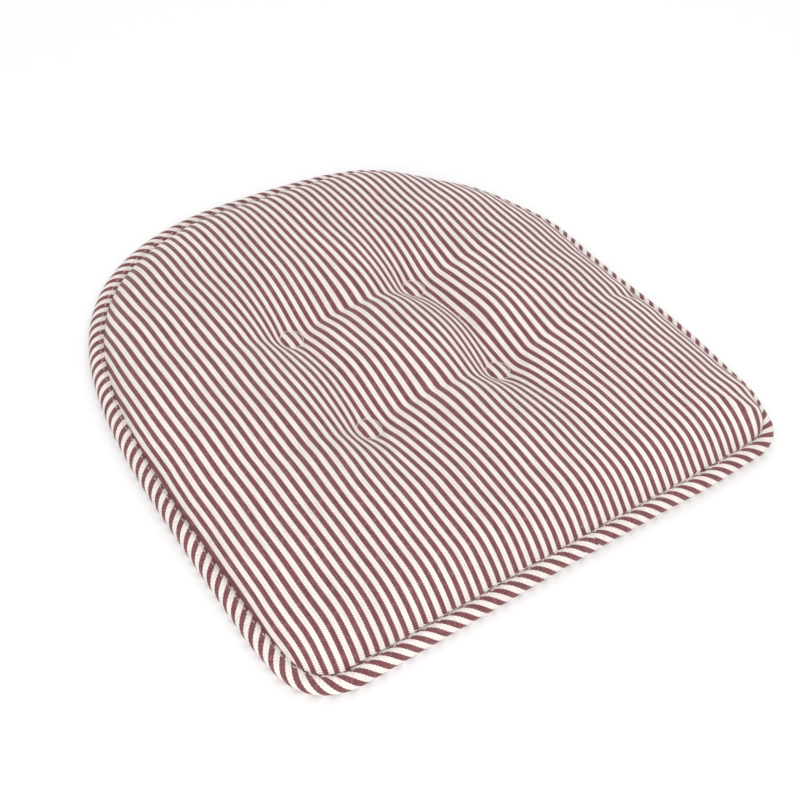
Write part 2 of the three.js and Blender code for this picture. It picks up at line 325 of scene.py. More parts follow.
@dataclass(frozen=True)
class Crown:
    """The height of the stuffed pad's top over its plan."""

    sizes: PadSizes
    outline: Outline
    rim_inset: float = 5.9 * MM
    rim_rise: float = 2.3 * MM
    bulge_from: float = 154 * MM
    bulge_to: float = 700 * MM
    bulge_share: float = 0.85
    bulge_width: float = 34 * MM
    bulge_ease: float = 40 * MM
    lean: float = 3.2 * MM
    lean_fade: float = 12 * MM
    corner_lean: float = 4.2 * MM
    corner_peak: float = 7 * MM
    corner_at: float = 208 * MM
    corner_reach: float = 36 * MM
    roll_width: float = 46 * MM
    roll_power: float = 3.1
    shoulder: float = 23.0 * MM
    dome: float = 3.8 * MM
    dome_share: float = 0.9
    pull_along_grain: float = 18.5 * MM
    pull_across_grain: float = 16.0 * MM
    button_swell: float = 1.1 * MM
    button_groove: float = 0.5 * MM
    groove_width: float = 0.9 * MM
    button_sink: float = 0.6 * MM
    button_shape: tuple[float, float] = (1.06, 1.20)
    lumps: float = 0.9 * MM
    puckers: float = 0.8 * MM
    pucker_fade: float = 11 * MM
    pucker_start: float = 4 * MM
    lifts: tuple[float, ...] = (4.5 * MM, 1.4 * MM, 1.8 * MM, 1.4 * MM)
    creases: tuple[Crease, ...] = (
        Crease((-54, 46), (54, 46), 8.0 * MM, 30 * MM),
        Crease((55, 46), (56, -59), 15.0 * MM, 32 * MM, bow=-7 * MM),
        Crease((-55, -59), (55, -59), 4.2 * MM, 26 * MM),
        Crease((-54, 46), (-55, -59), 7.0 * MM, bow=-3 * MM),
        Crease((-54, 46), (-118, 56), 4.0 * MM, 20 * MM, fade=1.0),
        Crease((54, 46), (128, 44), 4.0 * MM, 20 * MM, fade=1.0),
        Crease((-55, -59), (-120, -54), 3.6 * MM, 20 * MM, fade=1.0),
        Crease((55, -59), (130, -56), 3.6 * MM, 20 * MM, fade=1.0),
        Crease((55, -59), (68, -140), 6.0 * MM, 26 * MM, fade=1.0),
        Crease((-55, -59), (-48, -130), 3.6 * MM, 24 * MM, fade=1.0),
        Crease((54, 46), (46, 116), 4.6 * MM, 24 * MM, fade=1.0),
        Crease((-54, 46), (-60, 108), 3.6 * MM, 24 * MM, fade=1.0),
        Crease((183, -54), (158, -49), 4.0 * MM, 10 * MM, fade=1.0, roundness=1.6),
    )

    def untufted(self, places: np.ndarray) -> np.ndarray:
        """Give the height that the top would have with no tufts.

        Args:
            places: points in plan.

        Returns:
            Heights above the surface that the pad rests on.
        """
        s = self.sizes
        depth, along = self.outline.nearest(places)
        inside = (depth - self.rim_inset).clip(0)
        gentle = 1 - (1 - inside / self.roll_width).clip(0) ** self.roll_power
        steep = np.sqrt(1 - (1 - inside / self.bulge_width).clip(0) ** 2)
        roll = gentle + (steep - gentle) * self.bulging(along) * self.bulge_share
        middle = np.hypot(places[:, 0] / s.half_width, places[:, 1] / s.half_depth)
        dome = self.dome * (1 - (middle / self.dome_share) ** 2).clip(0)
        rim = s.seam_height + self.rim_rise
        pucker = self.puckers * self._waves(along, 17, (19, 31, 47)) * np.exp(-inside / self.pucker_fade)
        across, back = self._waves(places[:, 0], 5, (61, 88)), self._waves(places[:, 1], 6, (57, 97))
        lump = self.lumps * (across + back)
        height = rim + (self.shoulder - self.rim_rise) * roll + dome * roll + lump * roll**2
        return height + pucker * (inside / self.pucker_start).clip(0, 1)

    def bulging(self, along: np.ndarray) -> np.ndarray:
        """Give how far the pad's edge is a bulging one, from none to all of it.

        Args:
            along: distances along the outline.

        Returns:
            The shares.
        """
        begun = ((along - self.bulge_from) / self.bulge_ease).clip(0, 1)
        left = ((self.bulge_to - along) / (3 * self.bulge_ease)).clip(0, 1)
        return begun * left

    def leaned(self, plan: np.ndarray) -> np.ndarray:
        """Lean the edge of the cover outwards over the piping where it bulges.

        Args:
            plan: points in plan.

        Returns:
            The same points, moved.
        """
        _, outward, line_along = self.outline.loop(self.outline.line_points)
        depth, along = self.outline.nearest(plan)
        way = np.stack([np.interp(along, line_along, outward[:, i]) for i in (0, 1)], 1)
        inside = (depth - self.rim_inset).clip(0)
        lean = self.lean * self.bulging(along) * np.exp(-inside / self.lean_fade)
        steps = inside / self.corner_peak
        corner = np.exp(-(((along - self.corner_at) / self.corner_reach) ** 2))
        lean += self.corner_lean * corner * steps * np.exp(1 - steps)
        return plan + way * lean[:, None]

    @staticmethod
    def _waves(along: np.ndarray, seed: int, lengths: tuple[float, ...]) -> np.ndarray:
        """Add up a few gentle waves.

        Args:
            along: distances, in metres.
            seed: what sets where the waves start.
            lengths: each wave's length, in millimetres.

        Returns:
            The waves' sum, at most about one.
        """
        starts = np.random.default_rng(seed).uniform(0, 2 * math.pi, len(lengths))
        waves = [np.sin(2 * math.pi * along / (w * MM) + start) for w, start in zip(lengths, starts)]
        return sum(waves) / len(lengths)

    def button(self, tuft: Tuft, places: np.ndarray) -> np.ndarray:
        """Measure places from a tuft's middle, in its own slightly tall round shape.

        Args:
            tuft: the tuft.
            places: points in plan.

        Returns:
            Distances that reach the tuft's radius on its ring of stitches.
        """
        return np.linalg.norm((places - tuft.centre) / self.button_shape, axis=1)

    def tufted(self, places: np.ndarray) -> np.ndarray:
        """Give the height with the tufts pulled down.

        Args:
            places: points in plan.

        Returns:
            Heights above the surface that the pad rests on.
        """
        drops = np.array([crease.drop(places) for crease in self.creases])
        height = self.untufted(places) - (drops**4).sum(0) ** 0.25
        for tuft, lift in zip(self.sizes.tufts, self.lifts):
            away = places - tuft.centre
            far = self.button(tuft, places)
            slant = np.abs(np.sin(2 * np.arctan2(away[:, 1], away[:, 0])))
            reach = self.pull_along_grain + (self.pull_across_grain - self.pull_along_grain) * slant
            near = np.exp(-(far - tuft.radius).clip(0) / reach)
            height = height * (1 - near) + (tuft.top - self.button_sink + lift) * near
            height += self.button_swell * np.sqrt((1 - (far / tuft.radius) ** 2).clip(0))
            groove = np.exp(-((far - tuft.radius) / self.groove_width) ** 2)
            height -= self.button_groove * groove
        return height


# ---------------------------------------------------------------- meshes


def make_object(name: str, points: np.ndarray, faces: list, smooth: bool = True) -> bpy.types.Object:
    """Make a mesh object from points and faces.

    Args:
        name: the object's name.
        points: the vertices, in metres.
        faces: tuples of vertex numbers.
        smooth: whether its faces are shaded smooth.

    Returns:
        The object, in the scene.
    """
    mesh = bpy.data.meshes.new(name)
    mesh.from_pydata([tuple(map(float, p)) for p in points], [], faces)
    mesh.update()
    if smooth:
        mesh.shade_smooth()
    made = bpy.data.objects.new(name, mesh)
    bpy.context.scene.collection.objects.link(made)
    return made


def set_uv(obj: bpy.types.Object, coordinates: np.ndarray, name: str = "cloth") -> None:
    """Give each corner of a mesh its vertex's place on the flat cloth.

    Args:
        obj: the mesh object.
        coordinates: one pair for each vertex, in metres.
        name: the name of the UV map.
    """
    mesh = obj.data
    layer = mesh.uv_layers.get(name) or mesh.uv_layers.new(name=name)
    corner = np.empty(len(mesh.loops), np.int32)
    mesh.loops.foreach_get("vertex_index", corner)
    layer.data.foreach_set("uv", coordinates[corner].astype(np.float32).ravel())


def settle(obj: bpy.types.Object) -> bpy.types.Object:
    """Replace an object's mesh by what its modifiers make of it, and drop them.

    Args:
        obj: the object.

    Returns:
        The same object, with a plain mesh.
    """
    bpy.context.view_layer.update()
    graph = bpy.context.evaluated_depsgraph_get()
    plain = bpy.data.meshes.new_from_object(obj.evaluated_get(graph), depsgraph=graph)
    obj.modifiers.clear()
    obj.data = plain
    return obj


def twin(obj: bpy.types.Object, name: str) -> bpy.types.Object:
    """Copy an object with a mesh of its own.

    Args:
        obj: the object.
        name: the copy's name.

    Returns:
        The copy, in the scene.
    """
    made = obj.copy()
    made.data = obj.data.copy()
    made.name = name
    bpy.context.scene.collection.objects.link(made)
    return made


def swept(rings: np.ndarray) -> tuple[np.ndarray, list]:
    """Join a row of closed rings into a tube with a cap at each end.

    Args:
        rings: points, as steps by places round the ring by three.

    Returns:
        The points and the faces.
    """
    steps, sides = rings.shape[:2]
    faces = []
    for i in range(steps - 1):
        a, b = i * sides, (i + 1) * sides
        for j in range(sides):
            k = (j + 1) % sides
            faces.append((a + j, b + j, b + k, a + k))
    faces.append(tuple(range(sides)))
    faces.append(tuple(reversed(range((steps - 1) * sides, steps * sides))))
    return rings.reshape(-1, 3), faces


@dataclass(frozen=True)
class PlanMesh:
    """A fine triangle mesh over the pad's plan, with rings round its edge and its tufts."""

    outline: Outline
    rim: float
    spacing: float
    rim_rings: tuple[float, ...]
    tuft_rings: tuple[float, ...]
    tuft_shape: tuple[float, float] = (1.0, 1.0)

    def build(self) -> tuple[np.ndarray, list]:
        """Triangulate the plan.

        Returns:
            Points in plan and triangles, anticlockwise.
        """
        count = int(self.outline.length() / self.spacing)
        edge = self.outline.inset(self.rim, count)
        points = [edge]
        points += [self.outline.inset(ring, count) for ring in self.rim_rings]
        tufts = self.outline.sizes.tufts
        for tuft in tufts:
            points.append(tuft.centre[None])
            for ring in self.tuft_rings:
                turns = max(6, round(2 * math.pi * ring / self.spacing / 0.9))
                angle = np.arange(turns) / turns * 2 * math.pi + ring / MM
                around = np.stack([np.cos(angle), np.sin(angle)], 1)
                points.append(tuft.centre + ring * around * self.tuft_shape)
        points.append(self._lattice(tufts))
        every = np.concatenate(points)
        loop = [(i, (i + 1) % count) for i in range(count)]
        made = delaunay_2d_cdt([Vector(p) for p in every], loop, [], 1, 1e-7, False)
        return np.array([tuple(v) for v in made[0]]), [tuple(f) for f in made[2]]

    def _lattice(self, tufts: tuple[Tuft, ...]) -> np.ndarray:
        """Fill the inside with evenly spaced points.

        Args:
            tufts: the tufts, which have rings of their own.

        Returns:
            The points.
        """
        s = self.outline.sizes
        rows = np.arange(-s.half_depth, s.half_depth, self.spacing * math.sqrt(0.75))
        columns = np.arange(-s.half_width, s.half_width, self.spacing)
        x, y = np.meshgrid(columns, rows)
        x[1::2] += self.spacing / 2
        places = np.stack([x.ravel(), y.ravel()], 1)
        keep = self.outline.depth(places) > max(self.rim_rings) + self.spacing * 0.7
        for tuft in tufts:
            clear = max(self.tuft_rings) + self.spacing * 0.7
            keep &= np.linalg.norm((places - tuft.centre) / self.tuft_shape, axis=1) > clear
        return places[keep]


# ---------------------------------------------------------------- node graphs


class Graph:
    """Writes a shader's nodes in few words."""

    def __init__(self, material: bpy.types.Material) -> None:
        """Clear a material's tree and give it an output and a shader.

        Args:
            material: the material to write.
        """
        material.use_nodes = True
        self.tree = material.node_tree
        self.tree.nodes.clear()
        self.out = self.tree.nodes.new("ShaderNodeOutputMaterial")
        self.shader = self.tree.nodes.new("ShaderNodeBsdfPrincipled")
        self.link(self.shader.outputs[0], self.out.inputs["Surface"])

    def link(self, source: bpy.types.NodeSocket, target: bpy.types.NodeSocket) -> None:
        """Join two sockets."""
        self.tree.links.new(source, target)

    def put(self, socket: bpy.types.NodeSocket, value: object) -> None:
        """Set a socket to a number, a colour or another socket.

        Args:
            socket: the input to set.
            value: what it gets.
        """
        if isinstance(value, bpy.types.NodeSocket):
            self.link(value, socket)
        else:
            socket.default_value = value

    def math(self, operation: str, a: object, b: object = 0.0, c: object = 0.0) -> bpy.types.NodeSocket:
        """Add a Math node.

        Args:
            operation: its operation.
            a: its first input.
            b: its second input.
            c: its third input.

        Returns:
            Its output.
        """
        node = self.tree.nodes.new("ShaderNodeMath")
        node.operation = operation
        for socket, value in zip(node.inputs, (a, b, c)):
            self.put(socket, value)
        return node.outputs[0]

    def ramp(self, value: object, low: float, high: float, to: tuple = (0.0, 1.0)) -> bpy.types.NodeSocket:
        """Turn a range of a value smoothly into another range.

        Args:
            value: what is turned.
            low: where it starts.
            high: where it ends.
            to: what it becomes there.

        Returns:
            The turned value.
        """
        node = self.tree.nodes.new("ShaderNodeMapRange")
        node.interpolation_type = "SMOOTHSTEP"
        for name, number in zip(("From Min", "From Max", "To Min", "To Max"), (low, high, *to)):
            node.inputs[name].default_value = number
        self.put(node.inputs["Value"], value)
        return node.outputs["Result"]

    def noise(
        self, vector: object, scale: float, detail: float = 2.0, rough: float = 0.5
    ) -> bpy.types.NodeSocket:
        """Add a Noise Texture node.

        Args:
            vector: where it is read.
            scale: its scale, in turns for a metre.
            detail: its octaves.
            rough: how strong they are.

        Returns:
            Its value.
        """
        node = self.tree.nodes.new("ShaderNodeTexNoise")
        self.put(node.inputs["Vector"], vector)
        node.inputs["Scale"].default_value = scale
        node.inputs["Detail"].default_value = detail
        node.inputs["Roughness"].default_value = rough
        return node.outputs["Fac"]

    def mix(self, share: object, a: object, b: object) -> bpy.types.NodeSocket:
        """Mix two colours.

        Args:
            share: how much of the second.
            a: the first colour.
            b: the second colour.

        Returns:
            The mixed colour.
        """
        node = self.tree.nodes.new("ShaderNodeMix")
        node.data_type = "RGBA"
        self.put(node.inputs["Factor"], share)
        self.put(node.inputs["A"], a)
        self.put(node.inputs["B"], b)
        return node.outputs["Result"]

    def shade(self, colour: object, amount: object) -> bpy.types.NodeSocket:
        """Darken or lighten a colour by a factor.

        Args:
            colour: the colour.
            amount: the factor.

        Returns:
            The scaled colour.
        """
        node = self.tree.nodes.new("ShaderNodeVectorMath")
        node.operation = "SCALE"
        self.put(node.inputs[0], colour)
        self.put(node.inputs["Scale"], amount)
        return node.outputs[0]

    def stretched(self, vector: object, scale: tuple) -> bpy.types.NodeSocket:
        """Stretch coordinates by a factor on each axis.

        Args:
            vector: the coordinates.
            scale: the three factors.

        Returns:
            The stretched coordinates.
        """
        node = self.tree.nodes.new("ShaderNodeMapping")
        self.put(node.inputs["Vector"], vector)
        node.inputs["Scale"].default_value = scale
        return node.outputs[0]

    def uv(self, name: str = "cloth") -> bpy.types.NodeSocket:
        """Read a UV map.

        Args:
            name: the map's name.

        Returns:
            Its coordinates.
        """
        node = self.tree.nodes.new("ShaderNodeUVMap")
        node.uv_map = name
        return node.outputs[0]

    def place(self) -> bpy.types.NodeSocket:
        """Read the object's own coordinates."""
        return self.tree.nodes.new("ShaderNodeTexCoord").outputs["Object"]

    def split(self, vector: object) -> bpy.types.NodeOutputs:
        """Split a vector into its three parts.

        Args:
            vector: the vector.

        Returns:
            The three outputs.
        """
        node = self.tree.nodes.new("ShaderNodeSeparateXYZ")
        self.put(node.inputs[0], vector)
        return node.outputs

    def bump(
        self, height: object, distance: float, strength: float = 1.0, under: object = None
    ) -> bpy.types.NodeSocket:
        """Add a Bump node.

        Args:
            height: the height that it reads.
            distance: how deep a height of one is, in metres.
            strength: how much of it shows.
            under: another bump's normal, below this one.

        Returns:
            The bumped normal.
        """
        node = self.tree.nodes.new("ShaderNodeBump")
        node.inputs["Distance"].default_value = distance
        node.inputs["Strength"].default_value = strength
        self.put(node.inputs["Height"], height)
        if under is not None:
            self.put(node.inputs["Normal"], under)
        return node.outputs[0]

    def finish(self, colour: object, roughness: object, normal: object, sheen: float = 0.0) -> None:
        """Join colour, roughness and normal to the shader.

        Args:
            colour: the base colour.
            roughness: the roughness.
            normal: the bumped normal.
            sheen: how strong the fuzz's sheen is.
        """
        self.put(self.shader.inputs["Base Color"], colour)
        self.put(self.shader.inputs["Roughness"], roughness)
        self.put(self.shader.inputs["Normal"], normal)
        self.shader.inputs["Sheen Weight"].default_value = sheen
        self.shader.inputs["Sheen Roughness"].default_value = 0.6
        self.shader.inputs["Specular IOR Level"].default_value = 0.25


WINE = (0.190, 0.058, 0.062, 1.0)
WINE_LIGHT = (0.42, 0.20, 0.20, 1.0)
WINE_DEEP = (0.120, 0.030, 0.038, 1.0)
ECRU = (0.865, 0.795, 0.765, 1.0)
ECRU_DIM = (0.74, 0.665, 0.645, 1.0)


@dataclass(frozen=True)
class TickingFinish:
    """Striped cotton ticking: wine and ecru warp stripes in a fine twill."""

    name: str
    pitch: float = 6.85 * MM
    dark_share: float = 0.492
    phase: float = 0.0
    slant: float = 0.0
    yarn: float = 0.8 * MM
    tooth: float = 0.2 * MM
    wander: float = 0.5 * MM
    softness: float = 0.022
    twill: float = 2 * math.pi / (1.5 * MM)

    def build(self) -> bpy.types.Material:
        """Make the material."""
        material = bpy.data.materials.new(self.name)
        g = Graph(material)
        cloth = g.uv()
        u, v, _ = g.split(cloth)
        wander = g.noise(g.stretched(cloth, (60.0, 14.0, 1.0)), 1.0, 2.0)
        wander = g.math("MULTIPLY", g.math("SUBTRACT", wander, 0.5), self.wander)
        tooth = g.math("SINE", g.math("MULTIPLY", v, 2 * math.pi / (self.yarn * 2)))
        tooth = g.math("MULTIPLY", tooth, self.tooth)
        across = g.math("ADD", g.math("ADD", u, wander), tooth)
        across = g.math("SUBTRACT", across, g.math("MULTIPLY", v, self.slant))
        turns = g.math("ADD", g.math("DIVIDE", across, self.pitch), self.phase + 1000.5)
        saw = g.math("FRACT", turns)
        from_middle = g.math("ABSOLUTE", g.math("SUBTRACT", saw, 0.5))
        edge = self.dark_share / 2
        dark = g.ramp(from_middle, edge + self.softness, edge - self.softness)
        # the twill: warp floats that step one weft yarn at a time
        warp = g.math("MULTIPLY", u, 2 * math.pi / self.yarn)
        weft = g.math("MULTIPLY", v, 2 * math.pi / (self.yarn * 1.25))
        rib = g.math("SINE", g.math("ADD", warp, g.math("MULTIPLY", weft, 0.5)))
        over = g.math("SINE", g.math("SUBTRACT", g.math("MULTIPLY", warp, 0.5), weft))
        weave = g.math("ADD", g.math("MULTIPLY", rib, 0.3), g.math("MULTIPLY", over, 0.2))
        weave = g.math("ADD", weave, 0.5)
        yarn = g.noise(g.stretched(cloth, (1.0 / self.yarn, 40.0, 1.0)), 1.0, 1.0)
        slub = g.noise(g.stretched(cloth, (500.0, 260.0, 1.0)), 1.0, 3.0, 0.6)
        cloudy = g.noise(cloth, 14.0, 3.0)
        wine = g.mix(g.ramp(yarn, 0.3, 0.72), WINE_DEEP, WINE)
        wine = g.mix(g.math("MULTIPLY", g.ramp(slub, 0.45, 0.8), 0.55), wine, WINE_LIGHT)
        wine = g.mix(g.math("MULTIPLY", g.ramp(weave, 0.45, 0.05), 0.55), wine, WINE_LIGHT)
        pale = g.mix(g.ramp(yarn, 0.25, 0.6), ECRU_DIM, ECRU)
        # painted shade: where the weave's bump is low, the ecru stripes are greyed towards ECRU_DIM,
        # standing in for shade in the hollows between the yarns
        pale = g.mix(g.math("MULTIPLY", g.ramp(weave, 0.4, 0.05), 0.30), pale, ECRU_DIM)
        colour = g.mix(dark, pale, wine)
        rows = g.math("SINE", g.math("MULTIPLY", g.math("ADD", v, g.math("MULTIPLY", u, 0.5)), self.twill))
        rows = g.math("MULTIPLY", rows, g.ramp(slub, 0.3, 0.6))
        colour = g.shade(colour, g.ramp(rows, -1.0, 1.0, (0.90, 1.08)))
        colour = g.shade(colour, g.ramp(cloudy, 0.2, 0.8, (0.95, 1.04)))
        roll = g.noise(g.place(), 160.0, 3.0, 0.55)
        soft = g.bump(roll, 0.25 * MM, 0.35)
        normal = g.bump(weave, 0.10 * MM, 0.5, soft)
        g.finish(colour, g.ramp(slub, 0.2, 0.8, (0.78, 0.95)), normal, sheen=0.12)
        return material


@dataclass(frozen=True)
class BackingFinish:
    """Slip-resistant backing: a natural non-woven with a dry rubbery coat."""

    name: str = "grip_backing"

    def build(self) -> bpy.types.Material:
        """Make the material."""
        material = bpy.data.materials.new(self.name)
        g = Graph(material)
        place = g.place()
        felt = g.noise(place, 900.0, 4.0, 0.65)
        cloudy = g.noise(place, 22.0, 4.0)
        fibre = g.noise(g.stretched(place, (1.0, 0.35, 1.0)), 2600.0, 2.0)
        colour = g.mix(felt, (0.62, 0.56, 0.45, 1), (0.78, 0.72, 0.60, 1))
        colour = g.shade(colour, g.ramp(cloudy, 0.25, 0.75, (0.93, 1.05)))
        normal = g.bump(fibre, 0.12 * MM, 0.4, g.bump(felt, 0.3 * MM, 0.5))
        g.finish(colour, g.ramp(felt, 0.2, 0.8, (0.68, 0.86)), normal, sheen=0.05)
        return material


@dataclass(frozen=True)
class GripFinish:
    """The little grip dots: matt soft rubber."""

    name: str = "grip_dot"

    def build(self) -> bpy.types.Material:
        """Make the material."""
        material = bpy.data.materials.new(self.name)
        g = Graph(material)
        place = g.place()
        speck = g.noise(place, 1500.0, 3.0)
        colour = g.mix(speck, (0.60, 0.55, 0.46, 1), (0.72, 0.67, 0.57, 1))
        normal = g.bump(speck, 0.05 * MM, 0.4)
        g.finish(colour, g.ramp(speck, 0.3, 0.7, (0.45, 0.6)), normal)
        return material


@dataclass(frozen=True)
class ThreadFinish:
    """Pale sewing thread with a twist."""

    name: str = "sewing_thread"

    def build(self) -> bpy.types.Material:
        """Make the material."""
        material = bpy.data.materials.new(self.name)
        g = Graph(material)
        place = g.place()
        x, y, z = g.split(place)
        along = g.math("ADD", g.math("ADD", x, y), g.math("MULTIPLY", z, 1.7))
        twist = g.math("SINE", g.math("MULTIPLY", along, 2 * math.pi / (0.45 * MM)))
        fuzz = g.noise(place, 3000.0, 2.0)
        colour = g.mix(g.ramp(twist, -1.0, 1.0), (0.74, 0.66, 0.65, 1), (0.90, 0.86, 0.84, 1))
        colour = g.shade(colour, g.ramp(fuzz, 0.2, 0.8, (0.92, 1.04)))
        g.finish(colour, g.ramp(fuzz, 0.2, 0.8, (0.5, 0.7)), g.bump(twist, 0.06 * MM, 0.6), sheen=0.1)
        return material


@dataclass(frozen=True)
class FillingFinish:
    """Open foam, matted fibre or twisted cotton: pale, rough and mottled."""

    name: str
    light: tuple
    dim: tuple
    cell: float
    stretch: tuple = (1.0, 1.0, 1.0)

    def build(self) -> bpy.types.Material:
        """Make the material."""
        material = bpy.data.materials.new(self.name)
        g = Graph(material)
        place = g.stretched(g.place(), self.stretch)
        cells = g.tree.nodes.new("ShaderNodeTexVoronoi")
        cells.inputs["Scale"].default_value = 1 / self.cell
        g.put(cells.inputs["Vector"], place)
        wall = g.ramp(cells.outputs["Distance"], 0.15, 0.6)
        mottle = g.noise(place, 60.0, 4.0)
        colour = g.mix(wall, self.dim, self.light)
        colour = g.shade(colour, g.ramp(mottle, 0.2, 0.8, (0.92, 1.04)))
        g.finish(colour, g.ramp(mottle, 0.2, 0.8, (0.88, 1.0)), g.bump(wall, self.cell * 0.4, 0.6))
        return material


@dataclass(frozen=True)
class FloorFinish:
    """A plain pale studio floor."""

    name: str = "studio_floor"

    def build(self) -> bpy.types.Material:
        """Make the material."""
        material = bpy.data.materials.new(self.name)
        g = Graph(material)
        speck = g.noise(g.place(), 90.0, 3.0)
        colour = g.mix(speck, (0.945, 0.945, 0.945, 1), (0.96, 0.96, 0.96, 1))
        g.finish(colour, 0.9, g.bump(speck, 0.02 * MM, 0.2))
        return material


# ---------------------------------------------------------------- geometry nodes


class GeometryGraph:
    """Writes a Geometry Nodes tree with named inputs, and runs it on an object."""

    def __init__(self, name: str, inputs: dict[str, str]) -> None:
        """Start a tree.

        Args:
            name: the tree's name.
            inputs: each named input's socket type.
        """
        self.tree = bpy.data.node_groups.new(name, "GeometryNodeTree")
        face = self.tree.interface
        face.new_socket("Geometry", in_out="INPUT", socket_type="NodeSocketGeometry")
        self.ids = {}
        for label, kind in inputs.items():
            socket = face.new_socket(label, in_out="INPUT", socket_type=kind)
            self.ids[label] = socket.identifier
        face.new_socket("Geometry", in_out="OUTPUT", socket_type="NodeSocketGeometry")
        self.given = self.tree.nodes.new("NodeGroupInput").outputs
        self.result = self.tree.nodes.new("NodeGroupOutput").inputs

    def node(self, kind: str, inputs: dict | None = None, **settings: object) -> bpy.types.Node:
        """Add a node.

        Args:
            kind: its type.
            inputs: what its inputs get, by name or number.
            settings: its own properties.

        Returns:
            The node.
        """
        made = self.tree.nodes.new(kind)
        for key, value in settings.items():
            setattr(made, key, value)
        for key, value in (inputs or {}).items():
            if isinstance(value, bpy.types.NodeSocket):
                self.tree.links.new(value, made.inputs[key])
            else:
                made.inputs[key].default_value = value
        return made

    def close(self, geometry: bpy.types.NodeSocket) -> None:
        """End the tree in real geometry with its material.

        Args:
            geometry: what the tree made so far.
        """
        real = self.node("GeometryNodeRealizeInstances", {"Geometry": geometry})
        dressed = self.node(
            "GeometryNodeSetMaterial",
            {"Geometry": real.outputs[0], "Material": self.given["Material"]},
        )
        self.tree.links.new(dressed.outputs[0], self.result[0])

    def run(self, obj: bpy.types.Object, values: dict[str, object]) -> bpy.types.Object:
        """Run the tree on an object and keep the result as a plain mesh.

        Args:
            obj: the object.
            values: what each named input gets.

        Returns:
            The same object.
        """
        modifier = obj.modifiers.new(self.tree.name, "NODES")
        modifier.node_group = self.tree
        for label, value in values.items():
            modifier[self.ids[label]] = value
        settle(obj)
        obj.data.shade_smooth()
        return obj


def stitch_tree() -> GeometryGraph:
    """Write the tree that lays a row of stitches along a line.

    Returns:
        The tree.
    """
    number = "NodeSocketFloat"
    g = GeometryGraph(
        "stitch_row",
        {"Stride": number, "Length": number, "Thread": number, "Seed": "NodeSocketInt",
         "Material": "NodeSocketMaterial"},
    )
    line = g.node("GeometryNodeMeshToCurve", {"Mesh": g.given["Geometry"]})
    points = g.node(
        "GeometryNodeCurveToPoints",
        {"Curve": line.outputs[0], "Length": g.given["Stride"]},
        mode="LENGTH",
    )
    grain = g.node("GeometryNodeMeshUVSphere", {"Segments": 6, "Rings": 6, "Radius": 1.0})
    half = g.node("ShaderNodeMath", {0: g.given["Length"], 1: 0.5}, operation="MULTIPLY")
    jitter = g.node(
        "FunctionNodeRandomValue",
        {"Min": (0.85, 0.85, 0.9), "Max": (1.15, 1.15, 1.08), "Seed": g.given["Seed"]},
        data_type="FLOAT_VECTOR",
    )
    size = g.node(
        "ShaderNodeCombineXYZ", {0: g.given["Thread"], 1: g.given["Thread"], 2: half.outputs[0]}
    )
    sized = g.node(
        "ShaderNodeVectorMath", {0: size.outputs[0], 1: jitter.outputs[0]}, operation="MULTIPLY"
    )
    turned = g.node(
        "FunctionNodeAlignRotationToVector", {"Vector": points.outputs["Tangent"]}, axis="Z"
    )
    placed = g.node(
        "GeometryNodeInstanceOnPoints",
        {"Points": points.outputs["Points"], "Instance": grain.outputs["Mesh"],
         "Rotation": turned.outputs[0], "Scale": sized.outputs[0]},
    )
    g.close(placed.outputs[0])
    return g


def dot_tree() -> GeometryGraph:
    """Write the tree that prints a staggered pattern of dots on the flat part of a sheet's underside.

    Returns:
        The tree.
    """
    number = "NodeSocketFloat"
    g = GeometryGraph(
        "grip_dots",
        {"Width": number, "Depth": number, "Columns": "NodeSocketInt", "Rows": "NodeSocketInt",
         "Radius": number, "Height": number, "Material": "NodeSocketMaterial"},
    )
    grid = g.node(
        "GeometryNodeMeshGrid",
        {"Size X": g.given["Width"], "Size Y": g.given["Depth"],
         "Vertices X": g.given["Columns"], "Vertices Y": g.given["Rows"]},
    )
    index = g.node("GeometryNodeInputIndex")
    row = g.node("ShaderNodeMath", {0: index.outputs[0], 1: g.given["Rows"]}, operation="MODULO")
    odd = g.node("ShaderNodeMath", {0: row.outputs[0], 1: 2.0}, operation="MODULO")
    step = g.node("ShaderNodeMath", {0: g.given["Width"], 1: g.given["Columns"]}, operation="DIVIDE")
    shift = g.node("ShaderNodeMath", {0: odd.outputs[0], 1: step.outputs[0]}, operation="MULTIPLY")
    half = g.node("ShaderNodeMath", {0: shift.outputs[0], 1: 0.5}, operation="MULTIPLY")
    offset = g.node("ShaderNodeCombineXYZ", {0: half.outputs[0], 1: 0.0, 2: -0.05})
    lowered = g.node("GeometryNodeSetPosition", {"Geometry": grid.outputs[0], "Offset": offset.outputs[0]})
    ray = g.node(
        "GeometryNodeRaycast",
        {"Target Geometry": g.given["Geometry"], "Ray Direction": (0.0, 0.0, 1.0), "Ray Length": 0.1},
    )
    facing = g.node("ShaderNodeSeparateXYZ", {0: ray.outputs["Hit Normal"]})
    steep = g.node("FunctionNodeCompare", {0: facing.outputs[2], 1: -0.999}, operation="GREATER_THAN")
    missed = g.node("FunctionNodeBooleanMath", {0: ray.outputs["Is Hit"]}, operation="NOT")
    spare = g.node("FunctionNodeBooleanMath", {0: missed.outputs[0], 1: steep.outputs[0]}, operation="OR")
    kept = g.node(
        "GeometryNodeDeleteGeometry", {"Geometry": lowered.outputs[0], "Selection": spare.outputs[0]}
    )
    landed = g.node(
        "GeometryNodeSetPosition", {"Geometry": kept.outputs[0], "Position": ray.outputs["Hit Position"]}
    )
    dome = g.node("GeometryNodeMeshUVSphere", {"Segments": 8, "Rings": 4, "Radius": 1.0})
    size = g.node(
        "ShaderNodeCombineXYZ", {0: g.given["Radius"], 1: g.given["Radius"], 2: g.given["Height"]}
    )
    placed = g.node(
        "GeometryNodeInstanceOnPoints",
        {"Points": landed.outputs[0], "Instance": dome.outputs["Mesh"], "Scale": size.outputs[0]},
    )
    g.close(placed.outputs[0])
    return g


# ---------------------------------------------------------------- the pad's pieces


